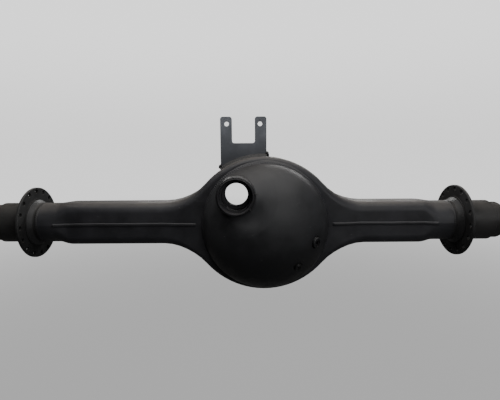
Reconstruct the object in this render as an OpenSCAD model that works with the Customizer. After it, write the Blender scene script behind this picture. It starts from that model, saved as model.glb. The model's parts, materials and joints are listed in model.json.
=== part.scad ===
// Axle housing: the bare welded housing of a heavy drive axle
// X runs along the axle, Y points to the carrier side, Z is up
// The origin is on the axle line, halfway between the brake flanges

/* [Arms] */
// distance between the inner faces of the two brake flanges
flange_spacing = 1372; // [1200:2:1600]
// half of the height of an arm
arm_half_height = 67.5; // [60:0.5:76]
// half of the depth of an arm, front to rear
arm_half_depth = 56; // [50:0.5:64]
// radius of the long outer corners of an arm
arm_corner_radius = 30; // [22:1:38]
// thickness of the pressed half shells
shell_wall = 12; // [9:0.5:14]
// length of the round end of an arm
arm_round_length = 50; // [36:2:70]
// length over which the square arm turns into a round tube
arm_end_taper = 50; // [36:2:70]
// length of the spindle root between the arm and the flange
spindle_root = 24; // [20:1:36]
// length over which the bowl's depth still changes past the end of its outline
arm_blend_run = 10; // [0:1:20]

/* [Bowl] */
// sideways shift of the bowl from the middle of the axle
bowl_offset = 60; // [0:1:100]
// half of the height of the bowl
bowl_half_height = 212; // [190:0.5:234]
// radius of the bowl's upper and lower outline
bowl_arc_radius = 247; // [225:1:272]
// radius of the hollow curve between bowl and arm
blend_radius = 186; // [160:2:210]
// half of the depth of the bowl, front to rear
bowl_half_depth = 65; // [58:0.5:74]
// radius of the bowl's outer edge
bowl_edge_radius = 9; // [6:0.5:12]
// radius of that edge on the bowl's flanks, where it runs out into the arms
flank_edge_radius = 20; // [12:0.5:26]
// flat band beside the dome before the bowl narrows
bowl_flat_band = 8; // [4:1:14]

/* [Dome cover] */
// flat band between the dome's weld and the bowl's edge
dome_margin = 1; // [0.5:0.25:8]
// depth of the dome behind the bowl
dome_depth = 146; // [130:0.5:162]
// radius of the knuckle between crown and foot
dome_knuckle_radius = 90; // [78:1:102]
// how far the dome sits to the right of the bowl's middle
dome_right = 2.5; // [0:0.5:3]
// thickness of the pressed dome
dome_wall = 8; // [6:0.5:10]
// how far the dome sits below the axle line
dome_drop = 4; // [0:0.5:5]
// leg of the ring weld around the dome
dome_weld_leg = 6; // [4:0.5:8]
// how far the shells reach in under the foot of the dome
dome_lap = 12; // [9:0.5:16]

/* [Output sleeve] */
// turn of the sleeve's place around the dome, from the right over the top
sleeve_angle = 129; // [100:1:160]
// how far the mouth of the sleeve stands out of the dome at its nearest point
sleeve_stand = 1; // [0:0.25:6]
// radius of the bearing seat
bearing_seat_radius = 42.5; // [38:0.25:47]
// depth of the bearing seat behind the seal seat
bearing_seat_depth = 40; // [32:1:46]
// step from the bearing seat out to the seal seat
seal_step = 4.5; // [3:0.25:6]
// depth of the seal seat
seal_seat_depth = 24; // [18:1:28]
// step from the bearing seat in to the through hole
hole_step = 8.5; // [5:0.25:10]
// length of the through hole behind the bearing seat
sleeve_hole_length = 30; // [24:1:36]
// wall of the sleeve around the seal seat
sleeve_wall = 5; // [4:0.25:7]
// wall of the neck that the dome is drawn out to around the sleeve
neck_wall = 4; // [3:0.25:8]
// how far the neck ends below the mouth of the sleeve
neck_setback = 3; // [2:0.25:5]
// distance of the neck from the outline of the dome
neck_margin = 2; // [0.25:0.25:12]
// depth of the dished pocket below the mouth of the sleeve
pocket_depth = 8; // [6:0.5:12]
// rise of the pocket's wall for each length outward
pocket_slope = 0.6; // [0.4:0.01:0.9]
// how far the pocket's middle lies from the sleeve's
pocket_shift = 8; // [0:1:20]
// direction of that shift, from the right over the top
pocket_turn = -70; // [-90:1:-30]
// leg of the weld around the mouth of the sleeve
sleeve_weld_leg = 3; // [2:0.25:4]

/* [Carrier ring] */
// leg of the weld around the carrier ring
carrier_weld_leg = 6; // [4:0.5:8]
// width of the carrier mounting ring
carrier_ring_width = 25; // [21:0.5:29]
// thickness of the carrier mounting ring
carrier_ring_thickness = 24; // [20:0.5:30]
// how far the shells stay back behind the bore of the ring
carrier_lip = 8; // [5:0.5:12]
// number of tapped holes in the ring
carrier_hole_count = 16; // [12:2:20]
// radius of a tapped hole
carrier_hole_radius = 7; // [5.5:0.25:8]
// floor left under a tapped hole
carrier_hole_floor = 4; // [3:0.5:8]

/* [Brake flanges] */
// outer radius of a brake flange
flange_radius = 115; // [105:0.5:130]
// thickness of a brake flange
flange_thickness = 8; // [7:0.5:14]
// number of holes in a brake flange
flange_hole_count = 16; // [12:4:20]
// distance of a flange hole's middle from the flange's edge
flange_hole_margin = 13; // [11:0.5:17]
// radius of a flange hole
flange_hole_radius = 7; // [5.5:0.25:8]

/* [Spindles] */
// outer radius of the spindle root and the round arm end
root_radius = 64.25; // [58:0.25:71]
// length of the spindle root outside the flange
root_length = 98; // [84:1:112]
// step from the root in to the seal land
seal_land_step = 5.75; // [4:0.25:8]
// length of the seal land
seal_land_length = 36; // [30:1:42]
// step from the seal land in to the inner bearing seat
inner_seat_step = 13.5; // [11:0.25:16]
// length of the inner bearing seat
inner_seat_length = 66; // [55:1:75]
// distance between the two bearing seats
seat_gap = 42; // [30:1:55]
// step from the inner in to the outer bearing seat
outer_seat_step = 4; // [3:0.25:6]
// length of the outer bearing seat
outer_seat_length = 48; // [40:1:55]
// step from the outer bearing seat in to the nut thread
thread_step = 2; // [1.5:0.25:3]
// length of the nut thread
thread_length = 44; // [36:1:55]
// wall of the spindle inside the nut thread
spindle_wall = 7; // [5.5:0.25:10]
// depth of the groove where the nut thread starts
thread_relief = 2; // [1:0.25:3]
// width of the key slot in the nut thread
key_width = 10; // [8:0.5:12]
// depth of the key slot in the nut thread
key_depth = 3.5; // [2.5:0.25:4.5]
// how far the shaft bore reaches inward of the flange
bore_lead = 12; // [8:0.5:14]
// how far the web around the shaft bore leans
web_lean = 10; // [4:0.5:11]
// rounding at the shoulder of the inner bearing seat
shoulder_round = 8; // [4:0.5:10]

/* [Valve bracket] */
// left edge of the bracket, left of the bowl's middle
bracket_left = 139; // [110:1:150]
// width of the bracket
bracket_width = 149; // [130:1:164]
// width of one prong
prong_width = 37.5; // [30:0.5:42]
// height of the slot's floor above the top of the bowl
slot_rise = 43; // [34:1:54]
// length of a prong above the slot's floor
prong_length = 84; // [70:1:96]
// thickness of the bracket plate
bracket_thickness = 10; // [7:0.5:13]
// how far the plate stands in front of the axle line
bracket_forward = 2; // [0:1:12]
// radius of the prong corners
prong_corner = 8; // [5:0.5:12]
// radius of a bracket hole
bracket_hole_radius = 7.5; // [6:0.25:9]
// depth of a bracket hole below the top edge
bracket_hole_drop = 23; // [17:0.5:28]
// how far a bracket hole lies inward of its prong's middle
bracket_hole_shift = 2; // [0:0.5:4]
// leg of the bracket's welds
bracket_weld_leg = 7; // [5:0.5:9]

/* [Filler and drain] */
// turn of the filler's place around the dome, from the right over the top
filler_angle = -12.5; // [-30:0.5:30]
// distance of the filler from the outline of the dome
filler_inset = 46; // [40:0.5:70]
// radius of the filler plug
filler_plug_radius = 11; // [9:0.25:13]
// turn of the drain's place around the dome
drain_angle = -48; // [-120:1:-40]
// distance of the drain from the outline of the dome
drain_inset = 58; // [48:0.5:80]
// radius of the drain plug
drain_plug_radius = 6.5; // [5.5:0.25:8]
// wall of a bung around its plug
bung_wall = 5; // [4:0.25:7]
// how far a bung stands out of the dome
bung_stand = 5; // [3:0.5:7]
// how far a plug lies below the edge of its bung
plug_sink = 2; // [1:0.25:4]
// share of a plug's diameter that its square socket takes
socket_share = 0.45; // [0.35:0.01:0.55]

/* [Welds and edges] */
// width of the seam beads
seam_width = 11.5; // [7:0.5:14]
// height of the seam beads
seam_height = 3.2; // [2:0.1:4.5]
// width of the girth beads
girth_width = 10; // [8:0.5:13]
// height of the girth beads
girth_height = 1.4; // [1:0.1:2.5]
// length of the weld at the inner side of a flange
collar_leg = 13; // [9:0.5:16]
// height of the weld at the inner side of a flange
collar_height = 10; // [7:0.5:13]
// leg of the weld at the outer side of a flange
rim_leg = 6; // [4:0.5:8]
// height of the raised pad around the bore of a flange
pad_height = 2; // [1:0.25:4]
// how far the pad reaches past the weld
pad_reach = 4; // [2:0.5:6]
// edge chamfer of turned pieces
chamfer = 1.5; // [1:0.25:2.5]

/* [Hidden] */
// gap between pieces that fit inside one another
fit = 0.1;
// gap under a bead that follows a curved face
bead_gap = 0.05;

flange_face = flange_spacing / 2;
flange_back = flange_face + flange_thickness;
arm_end = flange_face - spindle_root;
round_start = arm_end - arm_round_length;
taper_start = round_start - arm_end_taper;
tube_inner = root_radius - shell_wall;

arc_floor = bowl_half_height - bowl_arc_radius;
both_radii = bowl_arc_radius + blend_radius;
blend_rise = arm_half_height + blend_radius - arc_floor;
blend_end = sqrt(both_radii * both_radii - blend_rise * blend_rise);
arc_end = blend_end * bowl_arc_radius / both_radii;
arc_angle = asin(arc_end / bowl_arc_radius);

dome_radius = bowl_half_height - bowl_edge_radius - dome_weld_leg - dome_margin;
crown_half = dome_radius - dome_knuckle_radius;
crown_height = dome_depth - dome_knuckle_radius;
dome_crown_radius = dome_knuckle_radius
    + (crown_half * crown_half + crown_height * crown_height) / (2 * crown_height);
crown_rise = dome_crown_radius - dome_depth;
crown_y = crown_rise - bowl_half_depth;
rear_opening_radius = dome_radius - dome_lap;
flare_start = dome_radius + dome_weld_leg + dome_right + bowl_flat_band;
dome_x = bowl_offset + dome_right;

seal_seat_radius = bearing_seat_radius + seal_step;
sleeve_hole_radius = bearing_seat_radius - hole_step;
sleeve_radius = seal_seat_radius + sleeve_wall;
sleeve_length = seal_seat_depth + bearing_seat_depth + sleeve_hole_length;
neck_radius = sleeve_radius + fit + neck_wall;
sleeve_place = dome_radius - neck_radius - neck_margin;
sleeve_x = dome_x + sleeve_place * cos(sleeve_angle);
sleeve_z = sleeve_place * sin(sleeve_angle) - dome_drop;
sleeve_reach = sleeve_stand - crown_y
    + sqrt(pow(dome_crown_radius, 2) - pow(sleeve_place - sleeve_radius, 2));
neck_reach = sleeve_reach - neck_setback;
pocket_floor = sleeve_reach - pocket_depth;

carrier_outer_radius = bowl_half_height - bowl_edge_radius - carrier_weld_leg;
carrier_bore_radius = carrier_outer_radius - carrier_ring_width;
carrier_hole_circle = carrier_outer_radius - carrier_ring_width / 2;
carrier_hole_depth = carrier_ring_thickness - carrier_hole_floor;

flange_hole_circle = flange_radius - flange_hole_margin;
pad_radius = root_radius + collar_height + pad_reach;

seal_land_radius = root_radius - seal_land_step;
inner_seat_radius = seal_land_radius - inner_seat_step;
outer_seat_radius = inner_seat_radius - outer_seat_step;
thread_radius = outer_seat_radius - thread_step;
shaft_bore_radius = thread_radius - spindle_wall;

seal_land_start = flange_back + root_length;
inner_seat_start = seal_land_start + seal_land_length;
outer_seat_start = inner_seat_start + inner_seat_length + seat_gap;
thread_start = outer_seat_start + outer_seat_length;
spindle_tip = thread_start + thread_length;

bracket_x = bowl_offset - bracket_left;
slot_floor = bowl_half_height + slot_rise;
bracket_top = slot_floor + prong_length;
hole_inset = prong_width / 2 + bracket_hole_shift;

corner_steps = 7;
arc_steps = 22;
blend_steps = 6;
taper_steps = 6;

paint = [0.10, 0.10, 0.105];
weld_paint = [0.14, 0.135, 0.13];
bracket_paint = [0.15, 0.155, 0.165];

$fn = 96;

// smooth step from 0 to 1
function ease(t) = t <= 0 ? 0 : t >= 1 ? 1 : t * t * (3 - 2 * t);
function mix(a, b, t) = a + (b - a) * t;

// outline of the housing above the axle line, u measured from the bowl's middle
function outline(u) = abs(u) <= arc_end
    ? arc_floor + sqrt(pow(bowl_arc_radius, 2) - u * u)
    : abs(u) >= blend_end ? arm_half_height
    : arm_half_height + blend_radius - sqrt(pow(blend_radius, 2) - pow(blend_end - abs(u), 2));

// share of the arm shape at u: 0 in the bowl, 1 in the arm
function arm_share(u) = ease((abs(u) - flare_start) / (blend_end + arm_blend_run - flare_start));
// share of the round tube at x: 0 in the arm, 1 at its end
function tube_share(x) = ease((abs(x) - taper_start) / arm_end_taper);

function half_height(x) = mix(outline(x - bowl_offset), root_radius, tube_share(x));
function half_depth(x) =
    mix(mix(bowl_half_depth, arm_half_depth, arm_share(x - bowl_offset)), root_radius, tube_share(x));
// edge of the bowl at u, growing from its middle to its flanks
function bowl_corner(u) = mix(bowl_edge_radius, flank_edge_radius, pow(min(abs(u) / flare_start, 1), 2));
function square_corner(x) = mix(bowl_corner(x - bowl_offset), arm_corner_radius, arm_share(x - bowl_offset));
function corner(x) = mix(square_corner(x), root_radius - 2 * fit, tube_share(x));

// stations along the axle, closer together where the shape bends
function left_stations() = concat([-arm_end],
    [for (i = [0 : taper_steps]) -(round_start - arm_end_taper * i / taper_steps)]);
function blend_stations() = [for (i = [0 : blend_steps - 1])
    blend_end - blend_radius * sin(arc_angle * i / blend_steps)];
function arc_stations() = [for (i = [0 : arc_steps])
    bowl_arc_radius * sin(arc_angle * (2 * i / arc_steps - 1))];
function stations() = concat(left_stations(),
    [for (u = blend_stations()) bowl_offset - u],
    [for (u = arc_stations()) bowl_offset + u],
    [for (i = [blend_steps - 1 : -1 : 0]) bowl_offset + blend_stations()[i]],
    [for (i = [len(left_stations()) - 1 : -1 : 0]) -left_stations()[i]]);

function corner_turns() = [for (i = [0 : corner_steps]) 90 * i / corner_steps];

// one upper half section, from the front edge over the top to the rear edge
function half_section(x, w, h, r) = concat([[x, w, 0]],
    [for (a = corner_turns()) [x, w - r + r * cos(a), h - r + r * sin(a)]],
    [for (a = corner_turns()) [x, r - w - r * sin(a), h - r + r * cos(a)]],
    [[x, -w, 0]]);

function outer_section(x) = half_section(x, half_depth(x), half_height(x), corner(x));
function inner_section(x) = half_section(x, half_depth(x) - shell_wall, half_height(x) - shell_wall,
    max(corner(x) - shell_wall, 3));

// both triangles of a four-sided patch
function patch(a, b, c, d) = [[a, b, c], [a, c, d]];
function flat(lists) = [for (l = lists) for (e = l) e];

// one pressed half: outer skin, inner skin, two ends and two seam edges
module half_shell_body() {
    xs = stations();
    n = len(xs);
    m = 2 * corner_steps + 4;
    points = concat(flat([for (x = xs) outer_section(x)]), flat([for (x = xs) inner_section(x)]));
    k = n * m;
    faces = concat(
        flat([for (i = [0 : n - 2]) for (j = [0 : m - 2])
            patch(i * m + j, (i + 1) * m + j, (i + 1) * m + j + 1, i * m + j + 1)]),
        flat([for (i = [0 : n - 2]) for (j = [0 : m - 2])
            patch(k + i * m + j, k + i * m + j + 1, k + (i + 1) * m + j + 1, k + (i + 1) * m + j)]),
        flat([for (j = [0 : m - 2]) patch(j, j + 1, k + j + 1, k + j)]),
        flat([for (j = [0 : m - 2])
            patch((n - 1) * m + j, k + (n - 1) * m + j, k + (n - 1) * m + j + 1, (n - 1) * m + j + 1)]),
        flat([for (i = [0 : n - 2]) patch(i * m, k + i * m, k + (i + 1) * m, (i + 1) * m)]),
        flat([for (i = [0 : n - 2])
            patch(i * m + m - 1, (i + 1) * m + m - 1, k + (i + 1) * m + m - 1, k + i * m + m - 1)]));
    polyhedron(points, faces, convexity = 8);
}

// a half with the openings for the dome and the carrier cut out, the dome's one drop below the seam
module half_shell(drop) {
    difference() {
        half_shell_body();
        translate([dome_x, shell_wall + 4 - bowl_half_depth, -drop]) rotate([90, 0, 0])
            cylinder(r = rear_opening_radius, h = shell_wall + 8);
        translate([bowl_offset, bowl_half_depth + 4, 0]) rotate([90, 0, 0])
            cylinder(r = carrier_bore_radius + carrier_lip, h = shell_wall + 8);
    }
}

module upper_half_shell() {
    color(paint) half_shell(dome_drop);
}

module lower_half_shell() {
    color(paint) mirror([0, 0, 1]) half_shell(-dome_drop);
}

// outline of the dome grown by g, radius to the right and height upward
module dome_outline(g) {
    far = 2 * dome_crown_radius;
    lean = far / (dome_crown_radius - dome_knuckle_radius);
    intersection() {
        translate([0, -crown_rise]) circle(r = dome_crown_radius + g, $fn = 180);
        polygon([[0, 0], [crown_half, 0], [crown_half * lean, crown_rise * lean - crown_rise], [0, far]]);
    }
    intersection() {
        translate([crown_half, 0]) circle(r = dome_knuckle_radius + g, $fn = 180);
        translate([crown_half / 2, 0]) square([far, far]);
    }
}

module dome_solid(g) {
    translate([dome_x, -bowl_half_depth, -dome_drop]) rotate([90, 0, 0])
        rotate_extrude($fn = 180) dome_outline(g);
}

// the dished pocket beside the neck, its floor moved out by g
module dome_pocket(g) {
    height = dome_depth / 2;
    floor_radius = neck_radius + pocket_shift + chamfer;
    shift_x = pocket_shift * cos(pocket_turn);
    shift_z = pocket_shift * sin(pocket_turn);
    translate([sleeve_x + shift_x, -(pocket_floor + g), sleeve_z + shift_z]) rotate([90, 0, 0])
        cylinder(r1 = floor_radius, r2 = floor_radius + height / pocket_slope, h = height);
}

module dome_skin(g) {
    difference() {
        dome_solid(g);
        dome_pocket(g);
    }
}

// the cut for the sleeve, from its inner end out past its mouth
module sleeve_core() {
    translate([sleeve_x, sleeve_length - sleeve_reach, sleeve_z]) rotate([90, 0, 0])
        cylinder(r = sleeve_radius + fit, h = 2 * sleeve_length);
}

// the neck drawn out of the dome around the sleeve
module dome_neck() {
    length = neck_reach - bowl_half_depth;
    round_edge = neck_wall * 0.6;
    translate([sleeve_x, -bowl_half_depth, sleeve_z]) rotate([90, 0, 0])
        rotate_extrude() {
            square([neck_radius, length - round_edge]);
            square([neck_radius - round_edge, length]);
            translate([neck_radius - round_edge, length - round_edge]) circle(r = round_edge);
        }
}

// places its children on the dome, pointing out: turned around the dome's axis, in from its outline
module on_dome(turn, inset) {
    translate([dome_x, crown_y, -dome_drop]) rotate([90, 0, 0])
        rotate([0, 0, turn]) rotate([0, asin((dome_radius - inset) / dome_crown_radius), 0]) children();
}

module dome_cover() {
    color(paint) difference() {
        union() {
            dome_skin(0);
            dome_neck();
        }
        dome_skin(-dome_wall);
        sleeve_core();
        on_dome(filler_angle, filler_inset)
            cylinder(r = filler_plug_radius + bung_wall + fit, h = 2 * dome_crown_radius);
        on_dome(drain_angle, drain_inset)
            cylinder(r = drain_plug_radius + bung_wall + fit, h = 2 * dome_crown_radius);
    }
}

module dome_weld() {
    color(weld_paint) translate([dome_x, -bowl_half_depth, -dome_drop]) rotate([90, 0, 0])
        rotate_extrude($fn = 180) difference() {
            polygon([[dome_radius, 0], [dome_radius + dome_weld_leg, 0],
                [dome_radius + dome_weld_leg * 0.75, dome_weld_leg * 0.75],
                [dome_radius - 6, dome_weld_leg * 1.6], [dome_radius - 6, 0]]);
            dome_outline(fit);
        }
}

module output_sleeve() {
    mouth = sleeve_length;
    seal_floor = mouth - seal_seat_depth;
    bearing_floor = seal_floor - bearing_seat_depth;
    color(paint) translate([sleeve_x, sleeve_length - sleeve_reach, sleeve_z]) rotate([90, 0, 0])
        rotate_extrude() polygon([
            [sleeve_hole_radius, 0], [sleeve_radius, 0],
            [sleeve_radius, mouth - 2], [sleeve_radius - 2, mouth],
            [seal_seat_radius + 2, mouth], [seal_seat_radius, mouth - 3],
            [seal_seat_radius, seal_floor], [bearing_seat_radius, seal_floor],
            [bearing_seat_radius, bearing_floor], [sleeve_hole_radius + 2, bearing_floor],
            [sleeve_hole_radius, bearing_floor - 2]]);
}

// the bead between the neck's edge and the sleeve
module sleeve_weld() {
    inner = sleeve_radius + fit;
    color(weld_paint) translate([sleeve_x, -neck_reach - fit, sleeve_z]) rotate([90, 0, 0])
        rotate_extrude() polygon([[inner, 0], [inner + sleeve_weld_leg, 0],
            [inner + sleeve_weld_leg * 0.7, sleeve_weld_leg * 0.45], [inner, neck_setback * 0.7]]);
}

module carrier_ring() {
    color(paint) difference() {
        translate([bowl_offset, bowl_half_depth, 0]) rotate([-90, 0, 0]) rotate_extrude($fn = 180)
            polygon([[carrier_bore_radius, 0], [carrier_outer_radius, 0],
                [carrier_outer_radius, carrier_ring_thickness - 2],
                [carrier_outer_radius - 2, carrier_ring_thickness],
                [carrier_bore_radius + 2, carrier_ring_thickness],
                [carrier_bore_radius, carrier_ring_thickness - 2]]);
        for (i = [0 : carrier_hole_count - 1])
            translate([bowl_offset, bowl_half_depth + carrier_ring_thickness + 1, 0])
                rotate([0, 360 * (i + 0.5) / carrier_hole_count, 0])
                    translate([carrier_hole_circle, 0, 0]) rotate([90, 0, 0])
                        cylinder(r = carrier_hole_radius, h = carrier_hole_depth + 1, $fn = 32);
    }
}

module carrier_ring_weld() {
    color(weld_paint) translate([bowl_offset, bowl_half_depth, 0]) rotate([-90, 0, 0])
        rotate_extrude($fn = 180) polygon([
            [carrier_outer_radius + fit, 0], [carrier_outer_radius + carrier_weld_leg, 0],
            [carrier_outer_radius + carrier_weld_leg * 0.65, carrier_weld_leg * 0.65],
            [carrier_outer_radius + fit, carrier_weld_leg]]);
}

// turns a profile of radius and place along the axle onto one side: -1 left, 1 right
module on_side(side) {
    rotate([0, 90 * side, 0]) children();
}

module spindle(side) {
    fillet = shoulder_round;
    relief = thread_radius - thread_relief;
    color(paint) difference() {
        on_side(side) rotate_extrude() polygon([
            [tube_inner, arm_end + fit], [root_radius, arm_end + fit],
            [root_radius, seal_land_start - chamfer], [root_radius - chamfer, seal_land_start],
            [seal_land_radius, seal_land_start], [seal_land_radius, inner_seat_start - fillet],
            [seal_land_radius - fillet * 0.3, inner_seat_start - fillet * 0.3],
            [seal_land_radius - fillet, inner_seat_start],
            [inner_seat_radius, inner_seat_start], [inner_seat_radius, inner_seat_start + inner_seat_length],
            [inner_seat_radius - chamfer, inner_seat_start + inner_seat_length + 2 * chamfer],
            [outer_seat_radius + chamfer / 3, outer_seat_start - 2 * chamfer],
            [outer_seat_radius, outer_seat_start], [outer_seat_radius, thread_start],
            [relief, thread_start + thread_relief / 2], [relief, thread_start + thread_relief * 2.5],
            [thread_radius, thread_start + thread_relief * 3.5], [thread_radius, spindle_tip - chamfer],
            [thread_radius - chamfer, spindle_tip], [shaft_bore_radius, spindle_tip],
            [shaft_bore_radius, flange_face - bore_lead], [tube_inner, flange_face - bore_lead + web_lean]]);
        translate([side * (thread_start + thread_relief * 3.5 + thread_length / 2), 0, thread_radius])
            cube([thread_length, key_width, 2 * key_depth], center = true);
    }
}

module left_spindle() {
    spindle(-1);
}

module right_spindle() {
    spindle(1);
}

module brake_flange(side) {
    inner = root_radius + fit;
    color(paint) difference() {
        on_side(side) rotate_extrude() polygon([
            [inner, flange_face - pad_height], [pad_radius, flange_face - pad_height],
            [pad_radius, flange_face], [flange_radius - chamfer, flange_face],
            [flange_radius, flange_face + chamfer], [flange_radius, flange_back - chamfer],
            [flange_radius - chamfer, flange_back], [inner, flange_back]]);
        for (i = [0 : flange_hole_count - 1])
            rotate([360 * i / flange_hole_count, 0, 0])
                translate([side * (flange_face - 5), 0, flange_hole_circle]) rotate([0, 90 * side, 0])
                    cylinder(r = flange_hole_radius, h = flange_thickness + 10, $fn = 32);
    }
}

module left_brake_flange() {
    brake_flange(-1);
}

module right_brake_flange() {
    brake_flange(1);
}

// the long fillet at the inner side of a flange
module collar_weld(side) {
    inner = root_radius + fit;
    face = flange_face - pad_height - fit;
    color(weld_paint) on_side(side) rotate_extrude() polygon([
        [inner, face], [inner, face - collar_leg], [inner + 1, face - collar_leg],
        [inner + collar_height * 0.45, face - collar_leg * 0.45], [inner + collar_height, face - 1],
        [inner + collar_height, face]]);
}

module left_collar_weld() {
    collar_weld(-1);
}

module right_collar_weld() {
    collar_weld(1);
}

// the short fillet at the outer side of a flange
module rim_weld(side) {
    inner = root_radius + fit;
    color(weld_paint) on_side(side) rotate_extrude() polygon([
        [inner, flange_back + fit], [inner + rim_leg, flange_back + fit],
        [inner + rim_leg * 0.6, flange_back + rim_leg * 0.6], [inner, flange_back + rim_leg]]);
}

module left_rim_weld() {
    rim_weld(-1);
}

module right_rim_weld() {
    rim_weld(1);
}

// the bead around the joint of arm and spindle
module girth_weld(side) {
    w = girth_width / 2;
    bow = (w * w + girth_height * girth_height) / (2 * girth_height);
    color(weld_paint) on_side(side) rotate_extrude() intersection() {
        translate([root_radius + girth_height - bow, arm_end]) circle(r = bow);
        translate([root_radius + fit, arm_end - w]) square([girth_height, 2 * w]);
    }
}

module left_girth_weld() {
    girth_weld(-1);
}

module right_girth_weld() {
    girth_weld(1);
}

// stations of a seam bead, from the round arm end to the weld around the bowl's openings
function seam_stations(side) = side < 0
    ? [for (x = stations()) if (x >= 0 - round_start && x - bowl_offset <= 0 - flare_start) x]
    : [for (x = stations()) if (x <= round_start && x - bowl_offset >= flare_start) x];

// outline of a seam bead, in shares of its height and width
seam_profile = [[0, -0.5], [0.55, -0.36], [1, -0.08], [1, 0.08], [0.55, 0.36], [0, 0.5]];
function seam_section(x, front) = [for (p = seam_profile)
    [x, front * (half_depth(x) + bead_gap + seam_height * p[0]), front * seam_width * p[1]]];

module seam_weld(side, front) {
    xs = seam_stations(side);
    n = len(xs);
    m = 6;
    points = flat([for (x = xs) seam_section(x, front)]);
    faces = concat(
        flat([for (i = [0 : n - 2]) for (j = [0 : m - 1])
            patch(i * m + j, (i + 1) * m + j, (i + 1) * m + (j + 1) % m, i * m + (j + 1) % m)]),
        [for (j = [1 : m - 2]) [0, j, j + 1]],
        [for (j = [1 : m - 2]) [(n - 1) * m, (n - 1) * m + j + 1, (n - 1) * m + j]]);
    color(weld_paint) polyhedron(points, faces, convexity = 4);
}

module rear_left_seam() {
    seam_weld(-1, -1);
}

module rear_right_seam() {
    seam_weld(1, -1);
}

module front_left_seam() {
    seam_weld(-1, 1);
}

module front_right_seam() {
    seam_weld(1, 1);
}

// a bar with two rounded upper corners
module rounded_bar(x0, x1, z0, z1, r) {
    translate([x0, z0]) square([x1 - x0, z1 - r - z0]);
    translate([x0 + r, z0]) square([x1 - x0 - 2 * r, z1 - z0]);
    translate([x0 + r, z1 - r]) circle(r = r, $fn = 32);
    translate([x1 - r, z1 - r]) circle(r = r, $fn = 32);
}

// the hollow corner fillet of the slot
module slot_fillet(x, side) {
    difference() {
        translate([side > 0 ? x : x - prong_corner, slot_floor - 1]) square([prong_corner, prong_corner + 1]);
        translate([x + side * prong_corner, slot_floor + prong_corner]) circle(r = prong_corner, $fn = 32);
    }
}

module valve_bracket() {
    right = bracket_x + bracket_width;
    color(bracket_paint) translate([0, bracket_forward + bracket_thickness, 0]) rotate([90, 0, 0])
        linear_extrude(bracket_thickness) difference() {
            union() {
                rounded_bar(bracket_x, bracket_x + prong_width, 0, bracket_top, prong_corner);
                rounded_bar(right - prong_width, right, 0, bracket_top, prong_corner);
                translate([bracket_x, 0]) square([bracket_width, slot_floor]);
                slot_fillet(bracket_x + prong_width, 1);
                slot_fillet(right - prong_width, -1);
            }
            translate([bowl_offset, arc_floor]) circle(r = bowl_arc_radius + fit, $fn = 180);
            for (x = [bracket_x + hole_inset, right - hole_inset])
                translate([x, bracket_top - bracket_hole_drop]) circle(r = bracket_hole_radius, $fn = 48);
        }
}

// the bead along the foot of the bracket: -1 rear, 1 front
module bracket_weld(front) {
    from = asin((bracket_x - bowl_offset) / bowl_arc_radius);
    to = asin((bracket_x + bracket_width - bowl_offset) / bowl_arc_radius);
    foot = front < 0 ? bracket_forward - fit : bracket_forward + bracket_thickness + fit;
    inner = bowl_arc_radius + fit;
    color(weld_paint) translate([bowl_offset, 0, arc_floor]) rotate([90, 0, 0])
        rotate([0, 0, 90 - to]) rotate_extrude(angle = to - from, $fn = 180) polygon([
            [inner, -foot], [inner, -foot - front * bracket_weld_leg],
            [inner + bracket_weld_leg * 0.6, -foot - front * bracket_weld_leg * 0.6],
            [inner + bracket_weld_leg, -foot]]);
}

module bracket_rear_weld() {
    bracket_weld(-1);
}

module bracket_front_weld() {
    bracket_weld(1);
}

// a ring welded into the dome, around a plug of radius r
module bung(r) {
    top = dome_crown_radius + bung_stand;
    low = dome_crown_radius - dome_wall - bung_stand;
    color(paint) rotate_extrude() polygon([
        [r + fit, low], [r + bung_wall, low], [r + bung_wall, top - chamfer],
        [r + bung_wall - chamfer, top], [r + fit, top]]);
}

// a pipe plug of radius r with a square socket
module plug(r) {
    top = dome_crown_radius + bung_stand - plug_sink;
    low = dome_crown_radius - dome_wall;
    half = r * socket_share;
    color(paint) difference() {
        translate([0, 0, low]) cylinder(r = r, h = top - low);
        translate([-half, -half, (top + low) / 2]) cube([2 * half, 2 * half, top - low]);
    }
}

module filler_bung() {
    on_dome(filler_angle, filler_inset) bung(filler_plug_radius);
}

module filler_plug() {
    on_dome(filler_angle, filler_inset) plug(filler_plug_radius);
}

module drain_bung() {
    on_dome(drain_angle, drain_inset) bung(drain_plug_radius);
}

module drain_plug() {
    on_dome(drain_angle, drain_inset) plug(drain_plug_radius);
}

upper_half_shell();
lower_half_shell();
dome_cover();
dome_weld();
output_sleeve();
sleeve_weld();
carrier_ring();
carrier_ring_weld();
left_spindle();
right_spindle();
left_brake_flange();
right_brake_flange();
left_collar_weld();
right_collar_weld();
left_rim_weld();
right_rim_weld();
left_girth_weld();
right_girth_weld();
rear_left_seam();
rear_right_seam();
front_left_seam();
front_right_seam();
valve_bracket();
bracket_rear_weld();
bracket_front_weld();
filler_bung();
filler_plug();
drain_bung();
drain_plug();
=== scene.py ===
# %% [markdown]
# # Axle housing
# The bare welded housing of a heavy drive axle, painted satin black all over. Its solids come
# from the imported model. This lesson gives them their paint, their rippled weld beads, the soft
# edges of pressed plate and the light and camera of a plain studio.

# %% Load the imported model
import json
import math
import bmesh
import bpy
from mathutils import Matrix, Vector
from mathutils.bvhtree import BVHTree


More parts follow.
